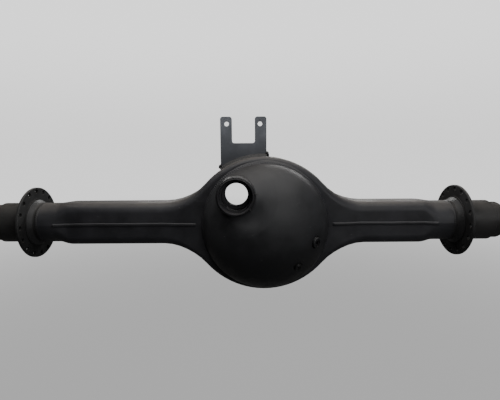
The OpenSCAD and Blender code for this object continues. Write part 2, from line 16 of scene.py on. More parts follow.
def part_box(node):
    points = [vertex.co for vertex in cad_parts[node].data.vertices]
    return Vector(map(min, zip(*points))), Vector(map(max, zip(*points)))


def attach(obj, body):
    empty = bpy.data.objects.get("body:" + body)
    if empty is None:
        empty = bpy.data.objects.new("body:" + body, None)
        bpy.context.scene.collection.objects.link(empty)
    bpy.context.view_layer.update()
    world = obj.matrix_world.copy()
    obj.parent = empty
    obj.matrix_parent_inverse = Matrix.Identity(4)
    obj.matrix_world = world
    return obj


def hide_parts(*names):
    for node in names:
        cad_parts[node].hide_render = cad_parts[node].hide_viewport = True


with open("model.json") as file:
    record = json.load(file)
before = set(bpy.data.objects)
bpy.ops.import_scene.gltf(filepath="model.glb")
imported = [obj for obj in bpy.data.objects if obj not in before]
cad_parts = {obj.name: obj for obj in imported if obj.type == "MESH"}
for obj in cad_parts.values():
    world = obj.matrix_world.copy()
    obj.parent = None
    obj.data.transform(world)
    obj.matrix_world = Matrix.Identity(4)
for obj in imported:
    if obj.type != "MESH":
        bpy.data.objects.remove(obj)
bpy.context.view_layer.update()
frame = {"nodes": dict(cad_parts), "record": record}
scene = bpy.context.scene

# %% [markdown]
# ## Camera
# The view is from the dome side, a little above the axle line, with a wide lens close to the
# part. A camera could be turned by three angles, but their order is easy to mistake. Here its
# axes are worked out as vectors and written as a matrix, so its slight roll is kept as well.

# %% Camera
IMAGE_WIDTH = 500
FOCAL_PIXELS = 367.5
SENSOR_WIDTH = 36.0
CAMERA_PLACE = Vector((0.019, -1.1995, 0.2332))
CAMERA_PITCH = math.radians(7.78)
CAMERA_YAW = -0.003
CAMERA_ROLL = -0.007


def aim(place, pitch, yaw, roll):
    level = math.cos(pitch)
    forward = Vector((math.sin(yaw) * level, math.cos(yaw) * level, -math.sin(pitch)))
    right = Vector((math.cos(yaw), -math.sin(yaw), 0.0))
    up = right.cross(forward)
    turned_right = right * math.cos(roll) + up * math.sin(roll)
    turned_up = up * math.cos(roll) - right * math.sin(roll)
    axes = Matrix((turned_right, turned_up, -forward)).transposed()
    return Matrix.Translation(place) @ axes.to_4x4()


lens = bpy.data.cameras.new("photo_camera")
lens.sensor_width = SENSOR_WIDTH
lens.lens = FOCAL_PIXELS / IMAGE_WIDTH * SENSOR_WIDTH
camera = bpy.data.objects.new("photo_camera", lens)
scene.collection.objects.link(camera)
camera.matrix_world = aim(CAMERA_PLACE, CAMERA_PITCH, CAMERA_YAW, CAMERA_ROLL)
scene.camera = camera
print("lens", round(lens.lens, 2), "mm")

# %% [markdown]
# ## Shared paint effects
# Dust settles on faces that look up, and its lighter colour there is also painted top light, as
# if the light from above fell on them. Old spray paint has a fine peel and duller patches, and
# handling leaves faint rubbed marks. These could be drawn into every material anew. Each is a
# node group instead, built once and then placed in every finish with its own values, so all
# finishes age in the same way.

# %% Node helpers


def new_group(name, inputs, outputs):
    group = bpy.data.node_groups.new(name, "ShaderNodeTree")
    for label, kind, value in inputs:
        socket = group.interface.new_socket(label, in_out="INPUT", socket_type=kind)
        socket.default_value = value
    for label, kind in outputs:
        group.interface.new_socket(label, in_out="OUTPUT", socket_type=kind)
    start = group.nodes.new("NodeGroupInput")
    end = group.nodes.new("NodeGroupOutput")
    return group, start, end


def add(tree, kind, **settings):
    node = tree.nodes.new(kind)
    for key, value in settings.items():
        setattr(node, key, value)
    return node


def noise(tree, place, scale, detail=3.0, roughness=0.55):
    node = add(tree, "ShaderNodeTexNoise")
    node.inputs["Detail"].default_value = detail
    node.inputs["Roughness"].default_value = roughness
    tree.links.new(place, node.inputs["Vector"])
    if isinstance(scale, (int, float)):
        node.inputs["Scale"].default_value = scale
    else:
        tree.links.new(scale, node.inputs["Scale"])
    return node.outputs["Fac"]


def span(tree, value, low, high, to_low=0.0, to_high=1.0):
    node = add(tree, "ShaderNodeMapRange", interpolation_type="SMOOTHSTEP")
    tree.links.new(value, node.inputs["Value"])
    node.inputs["From Min"].default_value = low
    node.inputs["From Max"].default_value = high
    node.inputs["To Min"].default_value = to_low
    node.inputs["To Max"].default_value = to_high
    return node.outputs["Result"]


def maths(tree, operation, a, b):
    node = add(tree, "ShaderNodeMath", operation=operation)
    for socket, value in zip(node.inputs, (a, b)):
        if isinstance(value, (int, float)):
            socket.default_value = value
        else:
            tree.links.new(value, socket)
    return node.outputs["Value"]


print("node helpers ready")

# %% Dust and painted top light on upward faces
DUST_AND_TOP_LIGHT_SLOPE = (0.48, 1.0)
CLOUD_SCALE = 22.0
GRAIN_SCALE = 420.0
dust_and_top_light_group, dust_and_top_light_in, dust_and_top_light_out = new_group(
    "settled_dust_and_top_light",
    [("Place", "NodeSocketVector", (0.0, 0.0, 0.0)), ("Amount", "NodeSocketFloat", 0.6)],
    [("Mask", "NodeSocketFloat")])
dust_and_top_light_place = dust_and_top_light_in.outputs["Place"]
facing = add(dust_and_top_light_group, "ShaderNodeNewGeometry")
parts_of_normal = add(dust_and_top_light_group, "ShaderNodeSeparateXYZ")
dust_and_top_light_group.links.new(facing.outputs["Normal"], parts_of_normal.inputs["Vector"])
# Upward faces get the lighter colour: settled dust, and painted top light as from a lamp above.
upward_dust_and_top_light = span(dust_and_top_light_group, parts_of_normal.outputs["Z"], *DUST_AND_TOP_LIGHT_SLOPE)
cloud = span(dust_and_top_light_group, noise(dust_and_top_light_group, dust_and_top_light_place, CLOUD_SCALE, 5.0), 0.3, 0.7, 0.55, 1.0)
grain = span(dust_and_top_light_group, noise(dust_and_top_light_group, dust_and_top_light_place, GRAIN_SCALE, 2.0), 0.3, 0.7, 0.7, 1.0)
patchy = maths(dust_and_top_light_group, "MULTIPLY", maths(dust_and_top_light_group, "MULTIPLY", upward_dust_and_top_light, cloud), grain)
dust_and_top_light_mask = maths(dust_and_top_light_group, "MULTIPLY", patchy, dust_and_top_light_in.outputs["Amount"])
dust_and_top_light_group.links.new(dust_and_top_light_mask, dust_and_top_light_out.inputs["Mask"])
print("dust group nodes", len(dust_and_top_light_group.nodes))

# %% Peel, dull patches and rubbed marks of old spray paint
PEEL_SHARE = 0.45
MILL_SHARE = 0.55
MILL_SCALE = 70.0
PATCH_SCALE = 14.0
RUB_SCALE = (26.0, 60.0, 160.0)
RUB_TURN = (0.2, 0.5, 0.3)
skin_group, skin_in, skin_out = new_group(
    "sprayed_skin",
    [("Place", "NodeSocketVector", (0.0, 0.0, 0.0)), ("Peel Scale", "NodeSocketFloat", 520.0)],
    [("Height", "NodeSocketFloat"), ("Dull", "NodeSocketFloat"), ("Rub", "NodeSocketFloat")])
skin_place = skin_in.outputs["Place"]
peel_noise = noise(skin_group, skin_place, skin_in.outputs["Peel Scale"], 2.0)
mill_noise = noise(skin_group, skin_place, MILL_SCALE, 4.0)
skin_height = maths(skin_group, "ADD", maths(skin_group, "MULTIPLY", peel_noise, PEEL_SHARE),
                    maths(skin_group, "MULTIPLY", mill_noise, MILL_SHARE))
skin_group.links.new(skin_height, skin_out.inputs["Height"])
dull = span(skin_group, noise(skin_group, skin_place, PATCH_SCALE, 6.0, 0.62), 0.32, 0.68)
skin_group.links.new(dull, skin_out.inputs["Dull"])
stretch = add(skin_group, "ShaderNodeMapping")
stretch.inputs["Scale"].default_value = RUB_SCALE
stretch.inputs["Rotation"].default_value = RUB_TURN
skin_group.links.new(skin_place, stretch.inputs["Vector"])
rub = span(skin_group, noise(skin_group, stretch.outputs["Vector"], 1.0, 6.0, 0.7), 0.63, 0.78)
skin_group.links.new(rub, skin_out.inputs["Rub"])
print("skin group nodes", len(skin_group.nodes))

# %% [markdown]
# ## Finishes
# All pieces wear the same black, but not the same history. Arms gather dust, the dome is cleaner,
# and the bracket was painted apart and is a bluer black. On faces that look up the dust colour is
# also painted top light. The undersides of the dome and the flanges and the foot of the bracket
# are darkened by painted shade towards the bottom, weld beads are rough, and the long seams hold a
# greyer dust that is also a painted highlight along their tops. Each finish could be a material
# made by hand, but one function that takes these few values keeps them alike.

# %% One function for every finish
BLACK = (0.0125, 0.0126, 0.0142)
# The dust colour also serves as painted top light on faces that look up.
DUST_AND_TOP_LIGHT = (0.088, 0.079, 0.070)
WORN = (0.06, 0.06, 0.06)
SHEEN = 0.16
DULL_LIGHTER = 1.5
SHADE_DARKER = 0.2
DULL_ROUGHNESS = (-0.06, 0.08)
DUST_ROUGHNESS = 0.3
RELIEF_DEPTH = 0.002


def stack_colours(tree, base, layers):
    """Mixes the colour of each (mask, colour) layer over what lies below it."""
    below = None
    for mask, tint in layers:
        mix = add(tree, "ShaderNodeMix", data_type="RGBA")
        mix.inputs["A"].default_value = (*base, 1.0)
        mix.inputs["B"].default_value = (*tint, 1.0)
        if below is not None:
            tree.links.new(below, mix.inputs["A"])
        tree.links.new(mask, mix.inputs["Factor"])
        below = mix.outputs["Result"]
    return below


def paint(name, colour, dust_and_top_light, roughness, dust_and_top_light_colour=DUST_AND_TOP_LIGHT, peel=520.0, bump=0.12, painted_shade=None):
    """The last argument is a low z, a high z and the share of painted shade at each: darker towards the
    bottom.
    """
    material = bpy.data.materials.new(name)
    material.use_nodes = True
    tree = material.node_tree
    shader = tree.nodes["Principled BSDF"]
    shader.inputs["Specular IOR Level"].default_value = SHEEN
    where = add(tree, "ShaderNodeTexCoord").outputs["Object"]
    skin = add(tree, "ShaderNodeGroup", node_tree=skin_group)
    skin.inputs["Peel Scale"].default_value = peel
    dust_and_light_node = add(tree, "ShaderNodeGroup", node_tree=dust_and_top_light_group)
    dust_and_light_node.inputs["Amount"].default_value = dust_and_top_light
    for group in (skin, dust_and_light_node):
        tree.links.new(where, group.inputs["Place"])
    # The last layer is dust on upward faces, and also painted top light.
    layers = [(skin.outputs["Dull"], [c * DULL_LIGHTER for c in colour]),
              (skin.outputs["Rub"], WORN),
              (dust_and_light_node.outputs["Mask"], dust_and_top_light_colour)]
    if painted_shade:
        parts_of_place = add(tree, "ShaderNodeSeparateXYZ")
        tree.links.new(where, parts_of_place.inputs["Vector"])
        # Painted shade: the colour darkens towards the low z, where the underside falls in shade.
        low_shade = span(tree, parts_of_place.outputs["Z"], *painted_shade)
        layers.append((low_shade, [c * SHADE_DARKER for c in colour]))
    tree.links.new(stack_colours(tree, colour, layers), shader.inputs["Base Color"])
    smoother, rougher = (roughness + change for change in DULL_ROUGHNESS)
    painted = span(tree, skin.outputs["Dull"], 0.0, 1.0, smoother, rougher)
    dusted = maths(tree, "MULTIPLY", dust_and_light_node.outputs["Mask"], DUST_ROUGHNESS)
    tree.links.new(maths(tree, "ADD", painted, dusted), shader.inputs["Roughness"])
    relief = add(tree, "ShaderNodeBump")
    relief.inputs["Strength"].default_value = bump
    relief.inputs["Distance"].default_value = RELIEF_DEPTH
    tree.links.new(skin.outputs["Height"], relief.inputs["Height"])
    tree.links.new(relief.outputs["Normal"], shader.inputs["Normal"])
    return material


print("colours", BLACK, DUST_AND_TOP_LIGHT)

# %% The finishes
# The z ranges given at the end of three finishes are painted shade, darker towards the bottom.
FINISHES = {
    "shell_paint": paint("shell_finish", BLACK, dust_and_top_light=0.62, roughness=0.50),
    "dome_paint": paint("dome_finish", (0.0118, 0.0120, 0.0130), dust_and_top_light=0.17, roughness=0.52,
                        painted_shade=(-0.17, 0.0, 0.88, 0.0)),
    "sleeve_paint": paint("sleeve_finish", (0.0150, 0.0146, 0.0160), dust_and_top_light=0.08, roughness=0.52,
                          peel=700.0),
    "ring_paint": paint("ring_finish", BLACK, dust_and_top_light=0.40, roughness=0.46),
    "spindle_paint": paint("spindle_finish", (0.0125, 0.0122, 0.0120), dust_and_top_light=0.30, roughness=0.48,
                           peel=640.0),
    "flange_paint": paint("flange_finish", (0.0130, 0.0130, 0.0132), dust_and_top_light=0.45, roughness=0.52,
                          painted_shade=(-0.12, 0.10, 0.75, 0.0)),
    "bracket_paint": paint("bracket_finish", (0.0610, 0.0650, 0.0735), dust_and_top_light=0.45, roughness=0.50,
                           painted_shade=(0.205, 0.300, 0.62, 0.0)),
    "plug_paint": paint("plug_finish", (0.0075, 0.0075, 0.0080), dust_and_top_light=0.05, roughness=0.50),
    "weld_paint": paint("weld_finish", (0.0100, 0.0100, 0.0104), dust_and_top_light=0.22, roughness=0.48,
                        peel=900.0, bump=0.3),
}
# The seams' greyer dust colour is also a painted highlight along the tops of the beads.
SEAM_FINISH_WITH_HIGHLIGHT = paint("seam_highlight_finish", (0.0125, 0.0126, 0.0138), dust_and_top_light=0.60, roughness=0.46,
                    dust_and_top_light_colour=(0.070, 0.070, 0.073), peel=900.0, bump=0.3)
print("finishes", sorted(FINISHES))

# %% Paint the solids that keep their own shape
slot_of = {part["node"]: part["material_slot"] for part in frame["record"]["subparts"]}
for name, node in frame["nodes"].items():
    node.data.materials.clear()
    node.data.materials.append(FINISHES[slot_of[name]])
print("painted", len(slot_of), "solids")

# %% [markdown]
# ## Pressed half shells
# The housing's body is two pressings, each an arm, half of the bowl and the other arm. Their
# solids are made of flat strips. They could be modelled again as smooth surfaces, but a copy with
# its corners merged and its normals weighted by face area shades as one pressing, keeps the true
# form and leaves the cut edges sharp. The bowl's rear top edge is drawn over a wider radius than
# the solid has, so the points of its arc move out on a larger circle.

# %% Helpers for new pieces
MERGE_DISTANCE = 0.00002
NORMAL_WEIGHT = 80


def piece_from(mesh_name, bm, slot, finish=None):
    mesh = bpy.data.meshes.new(mesh_name)
    bm.to_mesh(mesh)
    bm.free()
    piece = bpy.data.objects.new(mesh_name, mesh)
    scene.collection.objects.link(piece)
    mesh.materials.append(finish or FINISHES[slot])
    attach(piece, "root")
    return piece


def merged(node_name):
    bm = bmesh.new()
    bm.from_mesh(frame["nodes"][node_name].data)
    bmesh.ops.remove_doubles(bm, verts=bm.verts, dist=MERGE_DISTANCE)
    return bm


def shade(bm, sharp_degrees):
    limit = math.radians(sharp_degrees)
    for face in bm.faces:
        face.smooth = True
    for edge in bm.edges:
        edge.smooth = len(edge.link_faces) == 2 and edge.calc_face_angle(0.0) < limit


def drop_old_normals(piece):
    old = piece.data.attributes.get("custom_normal")
    if old:
        piece.data.attributes.remove(old)


def even_normals(piece):
    drop_old_normals(piece)
    weighted = piece.modifiers.new("even_normals", "WEIGHTED_NORMAL")
    weighted.keep_sharp = True
    weighted.weight = NORMAL_WEIGHT


print("piece helpers ready")

# %% Wider edge on the bowl
BOWL_ARC_MIDDLE = Vector((0.060, 0.0, -0.035))
BOWL_ARC_RADIUS = 0.2471
RIM_GAIN = 0.009
RIM_ENDS = (0.24, 0.36)
ARC_POINTS = 8
NEAR_ZERO = 0.00001


def ease(value, low, high):
    t = min(max((value - low) / (high - low), 0.0), 1.0)
    return t * t * (3 - 2 * t)


def arc_of(verts, middle, radius):
    """The points of one section that lie on its rear top arc."""
    reach = 10 * NEAR_ZERO
    return [v for v in verts if v.co.y < middle.y + reach and v.co.z > middle.z - reach
            and abs((v.co - middle).length - radius) < 2 * reach]


def round_rim(bm):
    """Widens the rear top edge of the bowl. The arms keep their own edge."""
    sections = {}
    for v in bm.verts:
        sections.setdefault(round(v.co.x, 4), []).append(v)
    moved = 0
    for x, verts in sections.items():
        gain = RIM_GAIN * (1.0 - ease(abs(x - BOWL_ARC_MIDDLE.x), *RIM_ENDS))
        rear = min(v.co.y for v in verts)
        top = max(v.co.z for v in verts)
        radius = top - max(v.co.z for v in verts if v.co.y < rear + 2 * NEAR_ZERO)
        middle = Vector((x, rear + radius, top - radius))
        arc = arc_of(verts, middle, radius)
        if gain < NEAR_ZERO or len(arc) != ARC_POINTS:
            continue
        wider_middle = middle + Vector((0.0, gain, -gain))
        for v in arc:
            v.co = wider_middle + (v.co - middle) * ((radius + gain) / radius)
        moved += len(arc)
    return moved


print("rim gains", RIM_GAIN * 1000, "mm")

# %% Half shells
SHELL_SHARP = 28.0
for half in ("upper_half_shell", "lower_half_shell"):
    bm = merged(half)
    if half == "upper_half_shell":
        print("rim points moved", round_rim(bm))
    shade(bm, SHELL_SHARP)
    pressed = piece_from("pressed_" + half, bm, "shell_paint")
    even_normals(pressed)
    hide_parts(half)
    print(pressed.name, len(pressed.data.polygons), "faces")

# %% [markdown]
# ## Dome cover
# A dome drawn from plate has no crisp inner corners: the neck around the sleeve and the dish
# beside it run into the dome with soft radii. A bevel would need clean edge loops, which the
# solid's triangles don't have. A fine remesh of the solid and then a few passes of smoothing
# give those radii without changing the dome's size.

# %% Dome cover
DOME_VOXEL = 0.0026
SKIN_PASSES = 8
RELAX_SHARE = 0.5


def relax(bm, verts, passes):
    for step in range(passes):
        bmesh.ops.smooth_vert(bm, verts=verts, factor=RELAX_SHARE, use_axis_x=True, use_axis_y=True,
                              use_axis_z=True)


dome = piece_from("drawn_dome_cover", merged("dome_cover"), "dome_paint")
drop_old_normals(dome)
remesh = dome.modifiers.new("fine_skin", "REMESH")
remesh.mode = "VOXEL"
remesh.voxel_size = DOME_VOXEL
bm = bmesh.new()
bm.from_object(dome, bpy.context.evaluated_depsgraph_get())
dome.modifiers.clear()
relax(bm, bm.verts, SKIN_PASSES)
print("dome skin", len(bm.faces), "faces")

# %% Soft run-out of the dish beside the neck
NECK_WALL = 0.0041
DISH_START = 0.003
DISH_REACH = 0.060
DISH_PASSES = 90
REARWARD = -0.2
SOFT_SHARP = 60.0
sleeve_low, sleeve_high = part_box("output_sleeve")
sleeve_middle = (sleeve_low + sleeve_high) / 2
neck_radius = (sleeve_high.x - sleeve_low.x) / 2 + NECK_WALL


def beside_neck(v):
    away = math.hypot(v.co.x - sleeve_middle.x, v.co.z - sleeve_middle.z) - neck_radius
    return DISH_START < away < DISH_REACH and v.normal.y < REARWARD


bm.normal_update()
dish = [v for v in bm.verts if beside_neck(v)]
relax(bm, dish, DISH_PASSES)
print("dish points", len(dish))
bmesh.ops.recalc_face_normals(bm, faces=bm.faces)
shade(bm, SOFT_SHARP)
bm.to_mesh(dome.data)
bm.free()
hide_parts("dome_cover")

# %% [markdown]
# ## Ring welds
# A weld bead is a row of overlapping crescents. A bump in the material could hint at them, but
# would vanish at the bead's outline, so they are real points. Each ring starts as a small closed
# outline: two toes, a bowed face between them and a root that hides in the joint. The outline is
# spun around the ring's axis, and then the points of the face are lifted in a wave whose crests
# bend back towards the toes.

# %% Outline and ripple of a bead
WELD_STEP = 0.0011
OUTLINE_STEPS = 8
RIPPLE_BEND = 0.55
RIPPLE_LAG = 2.4
RIPPLE_SHARPNESS = 1.6
RIPPLE_MIDDLE = 0.45
SLOW_WAVES = ((0.25, 31.0, 0.0), (0.2, 83.0, 1.3))


def bead_outline(bm, toe_a, toe_b, root, bow, around):
    """Toes and root are (radius, place along the axis). around(radius, along) gives a point."""
    a, b = Vector(toe_a), Vector(toe_b)
    out = Vector((b.y - a.y, a.x - b.x)).normalized()
    if out.dot(a - Vector(root)) < 0:
        out = -out
    shares = [i / OUTLINE_STEPS for i in range(OUTLINE_STEPS + 1)]
    points = [a + (b - a) * t + out * (bow * 4 * t * (1 - t)) for t in shares]
    verts = [bm.verts.new(around(p.x, p.y)) for p in points + [Vector(root)]]
    for first, second in zip(verts, verts[1:] + verts[:1]):
        bm.edges.new((first, second))
    return a, b, out


def crescent(t, run, pitch, strength):
    """Lift of the face at share t across the bead and length run along it."""
    bend = 1.0 - RIPPLE_BEND * math.cos(math.pi * (2 * t - 1))
    wave = 0.5 + 0.5 * math.cos(2 * math.pi * run / pitch - RIPPLE_LAG * bend)
    slow = sum(share * math.sin(run * rate + shift) for share, rate, shift in SLOW_WAVES)
    return strength * 4 * t * (1 - t) * (wave ** RIPPLE_SHARPNESS - RIPPLE_MIDDLE + slow)


print("bead step", WELD_STEP * 1000, "mm")

# %% Ring welds
FULL_TURN = 2 * math.pi
LEAST_STEPS = 24
UPRIGHT = Vector((0, 0, 1))
AXES = {"X": Vector((1, 0, 0)), "Y": Vector((0, 1, 0))}
BELOW_FACE = -0.00005
FACE_SHARES = (0.01, 0.99)


def ripple(bm, centre, along, outline, pitch, strength, top_spread):
    """Lifts a bead's face in crescents. top_spread widens its first toe near the ring's top."""
    a, b, out = outline
    face = b - a
    side = along.cross(UPRIGHT)
    mid_radius = (a.x + b.x) / 2
    ring_length = FULL_TURN * mid_radius
    whole_pitch = ring_length / max(1, round(ring_length / pitch))
    for v in bm.verts:
        offset = v.co - centre
        place_along = offset.dot(along)
        radial = offset - along * place_along
        flat = Vector((radial.length, place_along)) - a
        t = flat.dot(face) / (face.length * face.length)
        if flat.dot(out) < BELOW_FACE:
            continue
        turn = math.atan2(radial.dot(side), radial.dot(UPRIGHT))
        v.co += radial.normalized() * top_spread * (1 - t) * max(0.0, math.cos(turn)) ** 2
        if FACE_SHARES[0] < t < FACE_SHARES[1]:
            lift = crescent(t, turn * mid_radius, whole_pitch, strength)
            v.co += (radial.normalized() * out.x + along * out.y) * lift


def weld_ring(name, node, axis, centre, toe_a, toe_b, root, bow, pitch, strength, start=0.0,
              sweep=FULL_TURN, top_spread=0.0, finish=None):
    along = AXES[axis]
    first_radial = UPRIGHT * math.cos(start) + along.cross(UPRIGHT) * math.sin(start)
    bm = bmesh.new()

    def around(radius, place_along):
        return centre + along * place_along + first_radial * radius

    outline = bead_outline(bm, toe_a, toe_b, root, bow, around)
    whole = sweep == FULL_TURN
    mid_radius = (outline[0].x + outline[1].x) / 2
    steps = max(LEAST_STEPS, int(mid_radius * sweep / WELD_STEP))
    bmesh.ops.spin(bm, geom=bm.verts[:] + bm.edges[:], cent=centre, axis=along, angle=sweep, steps=steps,
                   use_merge=whole, dvec=(0, 0, 0), use_duplicate=False)
    bmesh.ops.remove_doubles(bm, verts=bm.verts, dist=NEAR_ZERO)
    if not whole:
        bmesh.ops.holes_fill(bm, edges=[e for e in bm.edges if e.is_boundary], sides=0)
    bmesh.ops.recalc_face_normals(bm, faces=bm.faces)
    ripple(bm, centre, along, outline, pitch, strength, top_spread)
    shade(bm, SOFT_SHARP)
    bead = piece_from(name, bm, "weld_paint", finish)
    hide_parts(node)
    print(name, len(bead.data.polygons), "faces")


def node_ring(node, axis, way=1):
    """Middle, outer radius and both ends of a ring-shaped node. A way of -1 swaps the ends."""
    low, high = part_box(node)
    ends = (low.x, high.x) if axis == "X" else (low.y, high.y)
    return (low + high) / 2, (high.z - low.z) / 2, *ends[::way]


print("ring axes", sorted(AXES))

# %% Welds of the flanges and the arm ends
AXLE_MIDDLE = Vector((0, 0, 0))
GIRTH_RISE = 0.0014
TOE_SINK = 0.0002
ROOT_SINK = 0.001
for way, hand in ((-1, "left"), (1, "right")):
    girth_middle, girth_radius, girth_low, girth_high = node_ring(hand + "_girth_weld", "X")
    tube_radius = girth_radius - GIRTH_RISE
    toe, root = tube_radius - TOE_SINK, tube_radius - ROOT_SINK
    outer, near, far = node_ring(hand + "_collar_weld", "X", way)[1:]
    weld_ring(hand + "_collar_bead", hand + "_collar_weld", "X", AXLE_MIDDLE,
              (toe, near), (outer, far), (root, far), bow=-0.0006, pitch=0.0075, strength=0.0011)
    outer, near, far = node_ring(hand + "_rim_weld", "X", way)[1:]
    weld_ring(hand + "_rim_bead", hand + "_rim_weld", "X", AXLE_MIDDLE,
              (outer, near), (toe, far), (root, near), bow=0.0006, pitch=0.006, strength=0.0008)
    weld_ring(hand + "_girth_bead", hand + "_girth_weld", "X", AXLE_MIDDLE,
              (toe, girth_low), (toe, girth_high), (tube_radius - 2 * ROOT_SINK, girth_middle.x),
              bow=0.0011, pitch=0.0065, strength=0.0007)

# %% Welds around the dome, the sleeve and the carrier ring
DOME_LEG = 0.0085
DOME_TOE_DEPTH = 0.003
DOME_LIP = 0.0006
SLEEVE_LEG = 0.0030
SLEEVE_ROOT_DEPTH = 0.0005


def upright_middle(point):
    return Vector((point.x, 0, point.z))


middle, outer, rear, front = node_ring("dome_weld", "Y")
weld_ring("dome_bead", "dome_weld", "Y", upright_middle(middle), (outer, front + DOME_TOE_DEPTH),
          (outer - DOME_LEG, rear + DOME_LIP), (outer - DOME_LEG, front + DOME_TOE_DEPTH),
          bow=0.0008, pitch=0.007, strength=0.0008, top_spread=0.0045, finish=FINISHES["shell_paint"])
middle, outer, rear, front = node_ring("sleeve_weld", "Y")
weld_ring("sleeve_bead", "sleeve_weld", "Y", upright_middle(middle), (outer, front + TOE_SINK),
          (outer - SLEEVE_LEG, rear), (outer - SLEEVE_LEG, front + SLEEVE_ROOT_DEPTH),
          bow=0.0004, pitch=0.0085, strength=0.0009, finish=FINISHES["plug_paint"])
middle, outer, rear, front = node_ring("carrier_ring_weld", "Y")
ring_radius = node_ring("carrier_ring", "Y")[1]
weld_ring("carrier_bead", "carrier_ring_weld", "Y", upright_middle(middle), (outer, rear),
          (ring_radius - TOE_SINK, front), (ring_radius - ROOT_SINK, rear),
          bow=0.0004, pitch=0.007, strength=0.0009)

# %% [markdown]
# ## Seam welds
# The halves are joined along the middle of each arm, front and rear. A swept curve would float
# where the arm bends into the bowl, so a long grid is laid on the arm instead: rays find the
# plate's face along the seam, and the grid's points are raised over it in a bowed, rippled
# section. A short extrusion into the plate closes the bead.

# %% Face of the plate under a seam
RAY_START = 0.5
SEAM_SPANS = 60
RAY_HEIGHT = 0.002
RAY_INSET = 0.0005


def ray_tree(node_name):
    bm = merged(node_name)
    tree = BVHTree.FromBMesh(bm)
    bm.free()
    return tree


plates = [ray_tree("upper_half_shell"), ray_tree("lower_half_shell")]


def face_depth(x, front):
    """Depth of the outermost plate at x. front is 1 for the front face and -1 for the rear one."""
    best = None
    for tree in plates:
        hit = tree.ray_cast(Vector((x, front * RAY_START, RAY_HEIGHT)), Vector((0, -front, 0)))[0]
        if hit is not None and (best is None or hit.y * front > best * front):
            best = hit.y
    return best


def seam_depths(start, end, front):
    depths = []
    for i in range(SEAM_SPANS + 1):
        x = start + (end - start) * i / SEAM_SPANS
        depths.append(face_depth(min(max(x, start + RAY_INSET), end - RAY_INSET), front))
    return depths


print("plates", len(plates))

# %% Seam welds
SEAM_RUN_IN = 0.010
SEAM_WIDTH = 0.011
SEAM_RISE = 0.0031
SEAM_FADE = 0.006
SEAM_PITCH = 0.0056
SEAM_RIPPLE = 0.0004
SEAM_WANDERS = ((0.0003, 37.0, 0.4), (0.00015, 91.0, 0.0))
SKIRT_DEPTH = 0.0025
SEAM_ROWS = 8


def seam_point(u, t, start, end, depths, front):
    """A point of the bead at share u along the seam and share t across it."""
    x = start + (end - start) * u
    k = min(int(u * SEAM_SPANS), SEAM_SPANS - 1)
    plate = depths[k] + (depths[k + 1] - depths[k]) * (u * SEAM_SPANS - k)
    fade = min(1.0, (x - start) / SEAM_FADE, (end - x) / SEAM_FADE)
    bow = math.sqrt(max(0.0, 1 - (2 * t - 1) ** 2)) * fade
    lift = SEAM_RISE * bow - TOE_SINK + crescent(t, x, SEAM_PITCH, SEAM_RIPPLE) * fade
    wander = sum(size * math.sin(x * rate + shift) for size, rate, shift in SEAM_WANDERS)
    return Vector((x, plate + front * lift, (t - 0.5) * SEAM_WIDTH + wander))


def seam_bead(node, front):
    low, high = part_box(node)
    start, end = low.x, high.x
    if start < 0:
        end += SEAM_RUN_IN
    else:
        start -= SEAM_RUN_IN
    depths = seam_depths(start, end, front)
    bm = bmesh.new()
    bmesh.ops.create_grid(bm, x_segments=int((end - start) / WELD_STEP), y_segments=SEAM_ROWS, size=1.0)
    for v in bm.verts:
        v.co = seam_point((v.co.x + 1) / 2, (v.co.y + 1) / 2, start, end, depths, front)
    skirt = bmesh.ops.extrude_face_region(bm, geom=bm.faces[:])
    sunk = [g for g in skirt["geom"] if isinstance(g, bmesh.types.BMVert)]
    bmesh.ops.translate(bm, verts=sunk, vec=(0, -front * SKIRT_DEPTH, 0))
    bmesh.ops.recalc_face_normals(bm, faces=bm.faces)
    shade(bm, SOFT_SHARP)
    bead = piece_from(node + "_bead", bm, "weld_paint", SEAM_FINISH_WITH_HIGHLIGHT)
    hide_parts(node)
    print(bead.name, len(bead.data.polygons), "faces")


for end_name, front in (("rear", -1), ("front", 1)):
    for hand in ("left", "right"):
        seam_bead(end_name + "_" + hand + "_seam", front)

# %% [markdown]
# ## Bracket
# The bracket is a flame-cut plate with its edges broken by a file. It could be cut anew, but its
# solid is already exact, so a copy of it gets a narrow bevel on those edges. Its foot is welded to
# the bowl on both faces with the same rippled bead, swept along the bowl's arc.

# %% Bracket
FLAT_ANGLE = math.radians(1.0)
FILED_ANGLE = math.radians(40)
FILED_WIDTH = 0.0009
bm = merged("valve_bracket")
bmesh.ops.dissolve_limit(bm, angle_limit=FLAT_ANGLE, verts=bm.verts[:], edges=bm.edges[:])
bracket = piece_from("cut_valve_bracket", bm, "bracket_paint")
drop_old_normals(bracket)
broken = bracket.modifiers.new("broken_edges", "BEVEL")
broken.width = FILED_WIDTH
broken.segments = 2
broken.limit_method = "ANGLE"
broken.angle_limit = FILED_ANGLE
even_normals(bracket)
for polygon in bracket.data.polygons:
    polygon.use_smooth = True
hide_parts("valve_bracket")
print("bracket faces", len(bracket.data.polygons))

# %% Foot welds of the bracket
FOOT_LEG = 0.0090
FOOT_SINK = 0.0004
foot_low, foot_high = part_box("valve_bracket")
first_turn = math.asin((foot_low.x - BOWL_ARC_MIDDLE.x) / BOWL_ARC_RADIUS)
last_turn = math.asin((foot_high.x - BOWL_ARC_MIDDLE.x) / BOWL_ARC_RADIUS)
for end_name, plate_y, way in (("rear", foot_low.y, -1), ("front", foot_high.y, 1)):
    weld_ring("bracket_" + end_name + "_bead", "bracket_" + end_name + "_weld", "Y", BOWL_ARC_MIDDLE,
              (BOWL_ARC_RADIUS + FOOT_LEG, plate_y), (BOWL_ARC_RADIUS, plate_y + way * FOOT_LEG),
              (BOWL_ARC_RADIUS - FOOT_SINK, plate_y), bow=0.0008, pitch=0.0065, strength=0.0011,
              start=first_turn, sweep=last_turn - first_turn)

